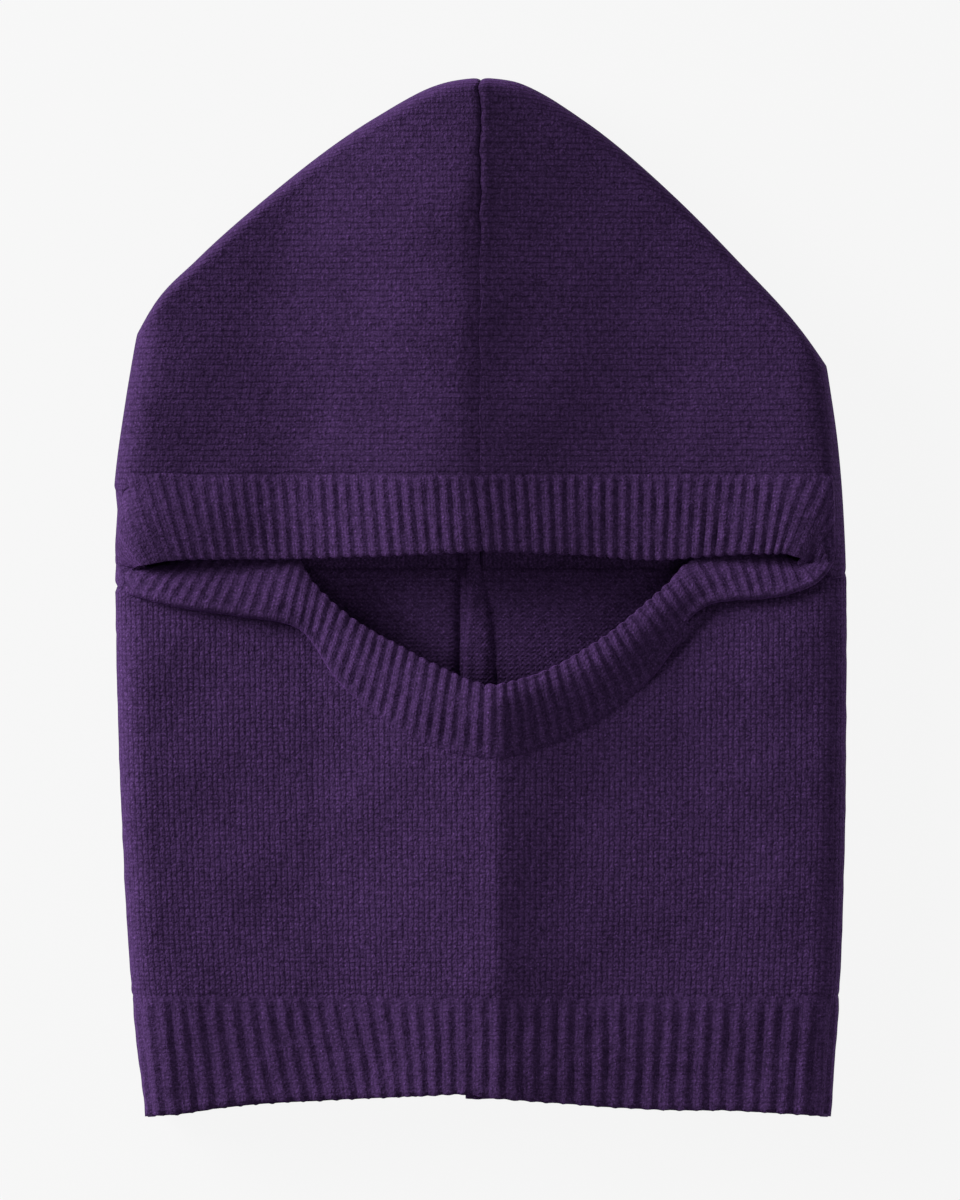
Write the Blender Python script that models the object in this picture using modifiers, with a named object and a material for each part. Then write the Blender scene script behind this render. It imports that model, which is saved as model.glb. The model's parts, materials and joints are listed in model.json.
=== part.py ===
"""A knitted hood balaclava, lying flat on its back. Metres, +Z up, +Y towards the crown.

Left and right are as seen from above: left is -X, which is the wearer's right.

The garment is a flattened tube. Its back layer rests on Z = 0, its front layer lies about FLAT_HEIGHT above,
and the two turn into each other in a rounded fold along each side and over the top of the hood.
"""

import math

import bmesh
import bpy
import numpy as np

# Knit and spacing
KNIT = 0.0030            # thickness of the stocking-stitch panels
RIB = 0.0034             # thickness of the ribbed bands
GAP = 0.0003             # clearance between the edges of two pieces that are sewn together
LINKING_RADIUS = 0.0010  # ridge that a linked seam leaves on the inside
LINKING_DROP = 0.0012    # how far that ridge hangs below the knit, so that it clears every fold of it
BACK_SEAM_WIDTH = 0.010  # seam allowances lying open along the centre back
BACK_SEAM_HEIGHT = 0.0024

# Flattened tube
FLAT_HEIGHT = 0.026      # outside height between the back layer and the front layer
FOLD = FLAT_HEIGHT / 2   # radius of the folds
TOP_FOLD = 0.016         # length of the fold along the slanting top edges of the hood, seen from above
FLAT_STEPS = 9           # columns from the centre line to a fold
FOLD_STEPS = 3           # columns round each quarter of a fold
CUTTER_SIZE = 0.6        # edge of the cubes that trim the hood panels

# Lines across the garment, as heights in Y
PEAK_Y = 0.2028
HINGE_Y = 0.0100         # the line where the hood folds, through both corners of the face opening
HINGE_Z = 0.0350
BRIM_SEAM_Y = 0.0480
BRIM_EDGE_Y = 0.0165
BRIM_TURN = 0.80         # share of the flat width at which the brim's edge starts to turn down
HEM_SEAM_Y = -0.1550
HEM_EDGE_Y = -0.2028

# Side edges: (y, distance from the centre plane), from the hem to the shoulder of the hood
LEFT_SIDE = [(-0.2028, 0.1297), (-0.1568, 0.1351), (-0.0788, 0.1398), (-0.0008, 0.1420), (0.0382, 0.1427),
             (0.0772, 0.1378), (0.1030, 0.1335)]
RIGHT_SIDE = [(-0.2028, 0.1363), (-0.1568, 0.1397), (-0.0398, 0.1427), (0.0226, 0.1421), (0.0616, 0.1392),
              (0.0905, 0.1350)]
# Top edges: (distance from the centre plane, y), from the peak to the shoulder
LEFT_TOP = [(0.0, PEAK_Y), (0.0135, 0.2006), (0.0415, 0.1866), (0.0840, 0.1552), (0.1102, 0.1318),
            (0.1270, 0.1140), (0.1335, 0.1030)]
RIGHT_TOP = [(0.0, PEAK_Y), (0.0150, 0.2006), (0.0396, 0.1866), (0.0770, 0.1552), (0.1000, 0.1318),
             (0.1260, 0.1030), (0.1350, 0.0905)]

# Chin band: each pair is a point of its sewn edge and the point of its free edge that the ribs lead to
CHIN_SEWN = [(-0.126, -0.0005), (-0.098, -0.0050), (-0.070, -0.0100), (-0.062, -0.0200), (-0.048, -0.0390),
             (-0.024, -0.0558), (0.004, -0.0620), (0.026, -0.0585), (0.048, -0.0480), (0.067, -0.0320),
             (0.077, -0.0180), (0.085, -0.0050), (0.104, 0.0005), (0.126, 0.0020)]
CHIN_FREE = [(-0.126, 0.0094), (-0.100, 0.0094), (-0.074, 0.0090), (-0.063, 0.0020), (-0.044, -0.0155),
             (-0.019, -0.0260), (0.004, -0.0328), (0.020, -0.0288), (0.039, -0.0215), (0.057, -0.0095),
             (0.070, 0.0020), (0.080, 0.0090), (0.104, 0.0094), (0.126, 0.0094)]
CHIN_STEPS = 40          # columns along the chin band
CHIN_LIFT = 0.0045       # how far the free edge stands above the front layer

# Ridges of the front layer, which is pressed into a crease down its centre
HOOD_RIDGE = (0.0085, 0.058)    # height, and how far its slope reaches to each side
BIB_RIDGE = (0.0050, 0.050)
RIGHT_SWELL = (0.0035, 0.120, 0.024)  # height, place and half-width of the puff along the right of the hood

# Colours as linear RGB, and the roughness of brushed wool
WOOL = (0.030, 0.014, 0.054)
RIB_WOOL = (0.034, 0.016, 0.061)
SEAM_WOOL = (0.022, 0.010, 0.042)
ROUGHNESS = 0.95


def clear_scene():
    for obj in list(bpy.data.objects):
        bpy.data.objects.remove(obj, do_unlink=True)


def smooth_curve(points, t):
    """The value at t of a smooth curve through (t, value) points, which rise in t."""
    ts, values = (np.array(column) for column in zip(*points))
    slopes = np.gradient(values, ts)
    i = int(np.clip(np.searchsorted(ts, t) - 1, 0, len(ts) - 2))
    step = ts[i + 1] - ts[i]
    s = min(max((t - ts[i]) / step, 0.0), 1.0)
    start = (1 + 2 * s) * (1 - s) ** 2 * values[i] + s * (1 - s) ** 2 * step * slopes[i]
    end = s * s * (3 - 2 * s) * values[i + 1] - s * s * (1 - s) * step * slopes[i + 1]
    return float(start + end)


def side_x(side, y):
    """Distance of the side edge from the centre plane; side is -1 at -X and 1 at +X."""
    points = LEFT_SIDE if side < 0 else RIGHT_SIDE
    return smooth_curve(points, min(y, points[-1][0]))


def top_y(side, x):
    """Height of the hood's slanting top edge at a distance x from the centre plane."""
    return smooth_curve(LEFT_TOP if side < 0 else RIGHT_TOP, x)


def ridge(x, height, reach):
    return height * max(0.0, 1 - abs(x) / reach) ** 1.5


def relief(x, y):
    """How far the front layer stands above FLAT_HEIGHT."""
    hood = ridge(x, *HOOD_RIDGE)
    height, place, width = RIGHT_SWELL
    hood += height * math.exp(-(((x - place) / width) ** 2))
    bib = ridge(x, *BIB_RIDGE)
    share = min(max((y + 0.02) / 0.05, 0.0), 1.0)
    share = share * share * (3 - 2 * share)
    return bib + (hood - bib) * share


def half_columns():
    """(layer, u, turn) from the centre back round the side fold to the centre front.

    layer is -1 on the back and 1 on the front, u runs from 0 at the centre to 1 where the fold starts,
    and turn is the angle round the fold, a quarter turn at the side edge.
    """
    flat = [i / FLAT_STEPS for i in range(FLAT_STEPS + 1)]
    turns = [math.pi / 2 * i / FOLD_STEPS for i in range(1, FOLD_STEPS + 1)]
    back = [(-1, u, 0.0) for u in flat] + [(-1, 1.0, turn) for turn in turns]
    return back + [(1, 1.0, turn) for turn in reversed(turns[:-1])] + [(1, u, 0.0) for u in reversed(flat)]


def skin_point(side, column, y, centre_gap=0.0, end=1.0):
    """A point of the outer surface; end falls from 1 to 0 over the fold at the top of the hood."""
    layer, u, turn = column
    x = side * max(u * (side_x(side, y) - FOLD) + FOLD * math.sin(turn), centre_gap)
    rise = math.cos(turn) * end
    z = FOLD + layer * FOLD * rise
    if layer > 0:
        z += relief(x, y) * rise
    return (x, y, z)


def front_z(x, y):
    """Height of the outer surface of the front layer."""
    side = 1 if x >= 0 else -1
    inset = max(0.0, 1 - (side_x(side, y) - abs(x)) / FOLD)
    rise = math.sqrt(max(0.0, 1 - min(inset, 1.0) ** 2))
    return FOLD + (FOLD + relief(x, y)) * rise


def wool_material(name, colour):
    material = bpy.data.materials.new(name)
    material.use_nodes = True
    shader = material.node_tree.nodes["Principled BSDF"]
    shader.inputs["Base Color"].default_value = (*colour, 1.0)
    shader.inputs["Roughness"].default_value = ROUGHNESS
    shader.inputs["Metallic"].default_value = 0.0
    material.diffuse_color = (*colour, 1.0)
    return material


def add_object(name, data, colour, parent):
    obj = bpy.data.objects.new(name, data)
    parts = bpy.data.collections["knitted_balaclava"]
    parts.objects.link(obj)
    data.materials.append(wool_material(name + "_wool", colour))
    if parent is not None:
        obj.parent = parent
        obj.matrix_parent_inverse = parent.matrix_world.inverted()
    return obj


def sheet(name, rows, thickness, colour, parent, left_out=None):
    """A shell of knit: a loft over rows of outer points, thickened inwards."""
    bm = bmesh.new()
    grid = [[bm.verts.new(point) for point in row] for row in rows]
    for i in range(len(grid) - 1):
        for j in range(len(grid[i]) - 1):
            if left_out is None or not left_out(i, j):
                bm.faces.new((grid[i][j], grid[i][j + 1], grid[i + 1][j + 1], grid[i + 1][j]))
    bmesh.ops.delete(bm, geom=[v for v in bm.verts if not v.link_faces], context="VERTS")
    bmesh.ops.remove_doubles(bm, verts=bm.verts, dist=1e-5)
    bmesh.ops.recalc_face_normals(bm, faces=bm.faces)
    bm.normal_update()
    outwards = 0.0
    for face in bm.faces:
        x, y, z = face.calc_center_median()
        outwards += face.calc_area() * (face.normal.x * x + face.normal.z * (z - FOLD))
    if outwards < 0:
        bmesh.ops.reverse_faces(bm, faces=bm.faces)
    mesh = bpy.data.meshes.new(name)
    bm.to_mesh(mesh)
    bm.free()
    mesh.shade_smooth()
    obj = add_object(name, mesh, colour, parent)
    solidify = obj.modifiers.new("thickness", "SOLIDIFY")
    solidify.thickness = thickness
    solidify.offset = -1.0
    solidify.use_even_offset = True
    solidify.use_rim = True
    return obj


def ridge_seam(name, points, parent):
    """A linked seam: the round ridge of stitches that it leaves along a line."""
    data = bpy.data.curves.new(name, "CURVE")
    data.dimensions = "3D"
    data.bevel_depth = LINKING_RADIUS
    data.bevel_resolution = 2
    data.use_fill_caps = True
    spline = data.splines.new("POLY")
    spline.points.add(len(points) - 1)
    for place, point in zip(spline.points, points):
        place.co = (*point, 1.0)
    return add_object(name, data, SEAM_WOOL, parent)


def strip_seam(name, start_y, end_y, parent):
    """Seam allowances pressed open, a flat strip lying on the inside of the back layer."""
    bm = bmesh.new()
    bmesh.ops.create_cube(bm, size=1.0)
    size = (BACK_SEAM_WIDTH, end_y - start_y, BACK_SEAM_HEIGHT)
    bmesh.ops.scale(bm, vec=size, verts=bm.verts)
    z = RIB + GAP + BACK_SEAM_HEIGHT / 2
    bmesh.ops.translate(bm, vec=(0, (start_y + end_y) / 2, z), verts=bm.verts)
    mesh = bpy.data.meshes.new(name)
    bm.to_mesh(mesh)
    bm.free()
    obj = add_object(name, mesh, SEAM_WOOL, parent)
    bevel = obj.modifiers.new("soft_edges", "BEVEL")
    bevel.width = BACK_SEAM_HEIGHT / 3
    bevel.segments = 2
    mesh.shade_smooth()
    return obj


def trim_at_centre(obj, side):
    """Cuts a hood panel off square at the centre plane, where the other half begins."""
    bm = bmesh.new()
    bmesh.ops.create_cube(bm, size=CUTTER_SIZE)
    shift = -side * (CUTTER_SIZE / 2 - GAP)
    bmesh.ops.translate(bm, vec=(shift, 0, 0), verts=bm.verts)
    mesh = bpy.data.meshes.new(obj.name + "_cutter")
    bm.to_mesh(mesh)
    bm.free()
    cutter = bpy.data.objects.new(obj.name + "_cutter", mesh)
    cutter.hide_render = True
    cutter.display_type = "WIRE"
    bpy.data.collections["cutters"].objects.link(cutter)
    cut = obj.modifiers.new("centre_trim", "BOOLEAN")
    cut.operation = "DIFFERENCE"
    cut.object = cutter


def hood_panel(name, side, parent):
    """Half of the hood: the back layer from the fold line up, and the front layer from the brim up."""
    columns = half_columns()
    front_start = len(columns) // 2
    flat_rows, fold_rows, low_rows = 7, FOLD_STEPS, 2
    shoulder_y = (LEFT_SIDE if side < 0 else RIGHT_SIDE)[-1][0]
    low_y = HINGE_Y + GAP
    brim_y = BRIM_SEAM_Y + GAP
    rows = []
    for i in range(low_rows):
        y = low_y + (brim_y - low_y) * i / low_rows
        rows.append([skin_point(side, column, y) for column in columns])
    shares = [(i / flat_rows, 0.0) for i in range(flat_rows + 1)]
    shares += [(1.0, math.pi / 2 * i / fold_rows) for i in range(1, fold_rows + 1)]
    flat_width = side_x(side, shoulder_y) - FOLD
    for share, turn in shares:
        row = []
        for layer, u, side_turn in columns:
            edge_y = top_y(side, u * flat_width + FOLD * math.sin(side_turn))
            y = brim_y + (edge_y - TOP_FOLD - brim_y) * share + TOP_FOLD * math.sin(turn)
            row.append(skin_point(side, (layer, u, side_turn), y, 0.0, math.cos(turn)))
        rows.append(row)
    obj = sheet(name, rows, KNIT, WOOL, parent, lambda i, j: i < low_rows and j >= front_start)
    trim_at_centre(obj, side)
    return obj


def brim_edge_y(u, turn):
    """Height of the brim's free edge, which turns down into the corner of the face opening at the side fold."""
    share = max(0.0, (u - BRIM_TURN) / (1 - BRIM_TURN)) / 2 + math.sin(turn) / 2
    return BRIM_EDGE_Y + (HINGE_Y + GAP - BRIM_EDGE_Y) * share * share * (3 - 2 * share)


def brim_rib(name, side, parent):
    """Half of the ribbed band over the forehead, from the centre to the side fold."""
    columns = [column for column in half_columns() if column[0] > 0]
    steps = 4
    start = BRIM_SEAM_Y - GAP
    rows = []
    for i in range(steps + 1):
        row = []
        for layer, u, turn in columns:
            y = start + (brim_edge_y(u, turn) - start) * i / steps
            row.append(skin_point(side, (layer, u, turn), y, LINKING_RADIUS + GAP))
        rows.append(row)
    return sheet(name, rows, RIB, RIB_WOOL, parent)


def chin_pair(t):
    """The sewn and the free point of the chin band at t, from 0 at -X to 1 at +X."""
    marks = np.linspace(0, 1, len(CHIN_SEWN))
    return [
        [smooth_curve(list(zip(marks, (point[axis] for point in line))), t) for axis in (0, 1)]
        for line in (CHIN_SEWN, CHIN_FREE)
    ]


def chin_rib(name, parent):
    """The ribbed band under the chin, a shallow U whose free edge stands up."""
    steps = 4
    rows = []
    for i in range(CHIN_STEPS + 1):
        sewn, free = (np.array(point) for point in chin_pair(i / CHIN_STEPS))
        along = (free - sewn) / np.linalg.norm(free - sewn)
        first = sewn + along * 3 * GAP
        reach = min(1.0, np.linalg.norm(free - sewn) / abs(CHIN_SEWN[6][1] - CHIN_FREE[6][1]))
        row = []
        for k in range(steps + 1):
            x, y = first + (free - first) * k / steps
            lift = CHIN_LIFT * reach * math.sin(math.pi / 2 * k / steps)
            row.append((x, y, front_z(x, y) + lift))
        rows.append(row)
    return sheet(name, rows, RIB, RIB_WOOL, parent)


def bib_top_line():
    """Heights of the bib's top edge along x: the chin band's sewn edge, less a clearance square to it."""
    xs, ys = np.array([chin_pair(i / CHIN_STEPS)[0] for i in range(CHIN_STEPS + 1)]).T
    return xs, ys - 3 * GAP * np.hypot(1.0, np.gradient(ys, xs))


def tube_rows(start, end_y, steps):
    """Rows of a full turn of the tube, from the centre back round both sides, between two lines across it."""
    columns = half_columns()
    rows = []
    for i in range(steps + 1):
        row = []
        for side, order in ((1, columns), (-1, columns[::-1][1:])):
            for column in order:
                first_y = start(side, column)
                y = first_y + (end_y - first_y) * i / steps
                centre_gap = GAP if column[0] < 0 else 0.0
                row.append(skin_point(side, column, y, centre_gap))
        rows.append(row)
    return rows


def neck_panel(name, parent):
    """The tube of the neck: its top edge is straight along the back and follows the chin band at the front."""
    line = bib_top_line()
    back_y = HINGE_Y - GAP

    def top(side, column):
        layer, u, turn = column
        x = side * (u * (side_x(side, 0.0) - FOLD) + FOLD * math.sin(turn))
        front_y = float(np.interp(x, *line))
        share = math.sin(turn) ** 2 / 2
        return back_y + (front_y - back_y) * (share if layer < 0 else 1 - share)

    return sheet(name, tube_rows(top, HEM_SEAM_Y + GAP, 8), KNIT, WOOL, parent)


def hem_rib(name, parent):
    rows = tube_rows(lambda side, column: HEM_SEAM_Y, HEM_EDGE_Y, 4)
    return sheet(name, rows, RIB, RIB_WOOL, parent)


def crown_seam(name, parent):
    """The seam from the forehead up the centre of the front layer, as a ridge on the inside."""
    drop = KNIT + LINKING_DROP + LINKING_RADIUS
    ends = (BRIM_SEAM_Y + 0.004, PEAK_Y - TOP_FOLD)
    steps = 16
    points = []
    for i in range(steps + 1):
        y = ends[0] + (ends[1] - ends[0]) * i / steps
        points.append((0.0, y, front_z(0.0, y) - drop))
    return ridge_seam(name, points, parent)


def forehead_join_seam(name, parent):
    """The short seam that joins the two ends of the face band, at the centre of the brim."""
    z = front_z(0.0, BRIM_SEAM_Y) - RIB / 2
    return ridge_seam(name, [(0, BRIM_EDGE_Y + 0.002, z), (0, BRIM_SEAM_Y - 0.002, z)], parent)


def brim_linking_seam(name, parent):
    """The linked seam between the hood and the brim band, as a ridge on the inside."""
    drop = RIB + LINKING_DROP + LINKING_RADIUS
    reach, steps = 0.122, 30
    points = []
    for i in range(steps + 1):
        x = reach * (2 * i / steps - 1)
        points.append((x, BRIM_SEAM_Y, front_z(x, BRIM_SEAM_Y) - drop))
    return ridge_seam(name, points, parent)


def chin_linking_seam(name, parent):
    """The linked seam between the neck panel and the chin band, as a ridge on the inside."""
    drop = RIB + LINKING_DROP + LINKING_RADIUS
    points = []
    for i in range(1, CHIN_STEPS):
        (x, y), _ = chin_pair(i / CHIN_STEPS)
        points.append((x, y, front_z(x, y) - drop))
    return ridge_seam(name, points, parent)


def hood_neck_seam(name, parent):
    """The linked seam between the hood and the neck panel, across the inside of the back layer."""
    reach = 0.122
    inner = BACK_SEAM_WIDTH / 2 + GAP
    z = KNIT + GAP + LINKING_RADIUS
    y = HINGE_Y - LINKING_RADIUS - GAP
    return [
        ridge_seam(name + word, [(side * inner, y, z), (side * reach, y, z)], parent)
        for side, word in ((-1, "_left"), (1, "_right"))
    ]


def build():
    clear_scene()
    parts = bpy.data.collections.new("knitted_balaclava")
    cutters = bpy.data.collections.new("cutters")
    bpy.context.scene.collection.children.link(parts)
    bpy.context.scene.collection.children.link(cutters)
    hinge = bpy.data.objects.new("hood_fold_axis", None)
    hinge.location = (0.0, HINGE_Y, HINGE_Z)
    hinge.empty_display_size = 0.03
    parts.objects.link(hinge)
    bpy.context.view_layer.update()

    neck_panel("neck_panel", None)
    hem_rib("hem_rib", None)
    chin_rib("chin_rib_band", None)
    chin_linking_seam("chin_linking_seam", None)
    strip_seam("neck_back_seam", HEM_EDGE_Y + 0.001, HINGE_Y - GAP, None)
    hood_neck_seam("hood_neck_seam", None)

    hood_panel("hood_left_panel", -1, hinge)
    hood_panel("hood_right_panel", 1, hinge)
    brim_rib("brim_rib_left", -1, hinge)
    brim_rib("brim_rib_right", 1, hinge)
    crown_seam("crown_seam", hinge)
    forehead_join_seam("forehead_join_seam", hinge)
    brim_linking_seam("brim_linking_seam", hinge)
    strip_seam("hood_back_seam", HINGE_Y + GAP, PEAK_Y - 2 * TOP_FOLD, hinge)
    bpy.context.view_layer.update()


build()
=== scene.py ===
"""The knitted hood balaclava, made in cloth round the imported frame. Metres; +Y towards the crown, +Z up.

Every knitted piece is a thin closed shell. Its outer face is laid out in rows and columns that follow the
stitches, so that wales, ribs and folds are real relief, and the loops of yarn are drawn by the materials.
"""

import json
import math

import bmesh
import bpy
import numpy as np
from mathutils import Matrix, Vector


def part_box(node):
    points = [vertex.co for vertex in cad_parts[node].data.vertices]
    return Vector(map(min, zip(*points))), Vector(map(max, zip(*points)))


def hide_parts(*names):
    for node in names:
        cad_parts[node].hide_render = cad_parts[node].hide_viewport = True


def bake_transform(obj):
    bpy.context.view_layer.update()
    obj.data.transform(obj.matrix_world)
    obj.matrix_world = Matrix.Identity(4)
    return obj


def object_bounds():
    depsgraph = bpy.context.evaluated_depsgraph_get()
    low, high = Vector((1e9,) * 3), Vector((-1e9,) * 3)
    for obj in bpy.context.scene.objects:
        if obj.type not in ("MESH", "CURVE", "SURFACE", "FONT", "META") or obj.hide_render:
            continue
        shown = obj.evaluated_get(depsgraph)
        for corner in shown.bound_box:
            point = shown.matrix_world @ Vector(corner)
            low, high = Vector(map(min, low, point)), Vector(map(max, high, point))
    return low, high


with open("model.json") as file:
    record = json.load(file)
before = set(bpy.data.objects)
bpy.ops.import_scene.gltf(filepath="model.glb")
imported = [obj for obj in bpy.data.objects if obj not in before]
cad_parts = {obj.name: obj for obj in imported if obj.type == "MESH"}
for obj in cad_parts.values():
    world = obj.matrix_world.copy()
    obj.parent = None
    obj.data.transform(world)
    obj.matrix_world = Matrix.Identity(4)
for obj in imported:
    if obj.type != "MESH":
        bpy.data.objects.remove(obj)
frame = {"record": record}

MM = 0.001
CAD_BOX = [list(corner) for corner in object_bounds()]

# ---------------------------------------------------------------- sizes, read from the frame
HALF_X, HALF_Y = CAD_BOX[1][0], CAD_BOX[1][1]
HINGE_Y = frame["record"]["behaviour"]["joints"][0]["pos_m"][1]
BRIM_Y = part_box("brim_rib_left")[1].y
HEM_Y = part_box("hem_rib")[1].y
BIB_RIDGE = 5.0 * MM                          # height of the crease down the bib in the CAD
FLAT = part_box("hem_rib")[1].z - BIB_RIDGE     # height of the front layer away from its ridges
FOLD = FLAT / 2                               # radius of the side folds
HALF_ROUND = 2 * (HALF_X - FOLD) + math.pi * FOLD  # length round half of the tube, at its widest

# ---------------------------------------------------------------- knit
WALE = 2.2 * MM          # width of one column of stitches
COURSE = 1.75 * MM       # height of one row of stitches
PLY = 3.0 * MM           # length of one stitch of a linking chain
FACE_RIB = 4.9 * MM      # width of one rib round the face
KNIT = 2.6 * MM          # thickness of the stocking stitch
RIB = 2.8 * MM           # thickness of the ribbing

# Outline: the sides as (share of the half length, share of the half width), the tops the other way round
SIDE = {
    -1: [(-1.0, 0.909), (-0.773, 0.947), (-0.389, 0.980), (-0.004, 0.995), (0.188, 1.0), (0.381, 0.966),
         (0.508, 0.9355)],
    1: [(-1.0, 0.955), (-0.773, 0.979), (-0.196, 1.0), (0.111, 0.996), (0.304, 0.9755), (0.446, 0.946)],
}
TOP = {
    -1: [(0.0, 1.0), (0.0946, 0.989), (0.291, 0.920), (0.589, 0.765), (0.772, 0.650), (0.890, 0.562),
         (0.9355, 0.508)],
    1: [(0.0, 1.0), (0.105, 0.989), (0.2775, 0.920), (0.540, 0.765), (0.701, 0.650), (0.883, 0.508),
        (0.946, 0.446)],
}
TOP_FOLD = 7 * MM        # length of the fold along the slanting tops
FOLD_LENGTH = 17 * MM    # how much cloth goes round half of that fold
FOLD_POWER = 0.80        # below 1 the folds are squarer than a half circle
# Along the right of the hood the front layer ends in a soft fold: (y, how far inside the silhouette)
RIGHT_INSET = [
    (0.0, 7.0 * MM), (0.0117, 6.6 * MM), (0.0218, 5.0 * MM), (0.038, 3.6 * MM), (0.054, 3.8 * MM),
    (0.073, 2.2 * MM), (0.095, 0.6 * MM),
]
HEM_LAP = 5.0 * MM       # how far the hood reaches in beneath the brim
BAND_ROOM = 2.6 * MM     # how far the panels draw in beneath the face band at the left fold
COVER = {-1: (0.9, 2.5), 1: (2.60, 3.00)}  # angles of the side fold between which the face band takes over
SLOT_X = 8.0 * MM        # how far left of the middle the slot beside the back seam lies
SLOT_WIDTH = 2.0 * MM
SEAM_TOP = 0.165         # y where the allowance of the centre-back seam begins and ends
SEAM_BOTTOM = -0.196
# Hem edge: (share of the half width, how far the edge lies above the lowest corner)
HEM_LINE = [
    (-0.91, 0.3 * MM), (-0.70, 4.3 * MM), (-0.50, 5.8 * MM), (-0.16, 7.8 * MM), (-0.03, 8.4 * MM),
    (0.05, 7.0 * MM), (0.29, 4.3 * MM), (0.50, 2.3 * MM), (0.70, 2.0 * MM), (0.95, 0.2 * MM),
]
HEM_RIBS = 44            # ribs on half of the hem
PER_RIB = 8              # columns of points to each rib of the hem and the face band
PER_WALE = 3             # and to each wale of the neck panel
FACE_RIB_HEIGHT = 1.0 * MM
HEM_RIB_HEIGHT = 1.25 * MM
RIB_SHAPE = 0.38         # below 1 the ribs are broad and the valleys between them narrow
HEM_STEP = 2.2 * MM      # the front hem lies this far above the back one
HEM_JOIN = 2.2 * MM      # the neck panel and the hem overlap this far either side of their join
LEVEL_JOIN = 2.0 * MM    # the same for the hood and the neck panel, round the back
SINK = 0.65 * MM         # how deep the end of each of them sinks there
BAND_SINK = 0.70 * MM    # how deep the face band sinks into the panels
BAND_TUCK = 0.8 * MM     # how much deeper its outermost row goes
BAND_STEPS = 20          # steps across the face band, between its rolled edges

# Relief of the front layer
HOOD_CREASE = 12.0 * MM  # height of the centre crease on the hood
HOOD_CREASE_X = -8 * MM  # where it runs
PEAK_SHIFT = 5 * MM      # how far right it moves towards the peak
HOOD_FLANKS = (0.078, 0.092)  # widths of its left and right flanks
BIB_CREASE = 9.0 * MM    # the same for the crease on the bib
BIB_CREASE_X = 6 * MM
BIB_FLANKS = (0.070, 0.040)
FAR_FLANK = 0.115        # how far right the thin end of the bib's crease reaches
HOOD_LEFT_RISE = 5.4 * MM  # how far the front layer rises towards its left side
BIB_LEFT_RISE = 2.2 * MM
HOOD_SWELL = 4.8 * MM    # height of a soft swelling on the right of the hood, where it lies, and its width
HOOD_SWELL_X = 0.131
HOOD_SWELL_WIDTH = 0.034
BIB_SWELL = 2.2 * MM     # the same on the right of the bib
BIB_SWELL_X = 0.118
BIB_SWELL_WIDTH = 0.024
UNEVEN = 0.5 * MM        # soft waves all over
CREST_ROUND = 2.5 * MM   # how far the crease is rounded over
BACK_MOUND = 3.6 * MM    # how far the back layer stands off the table inside the face opening
BACK_MOUND_WIDTH = 0.045
RIGHT_DROP = 2.2 * MM    # how far the cloth drops beyond the soft fold on the right of the hood
RIGHT_LIP = 0.7 * MM     # and how far that fold stands up

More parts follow.
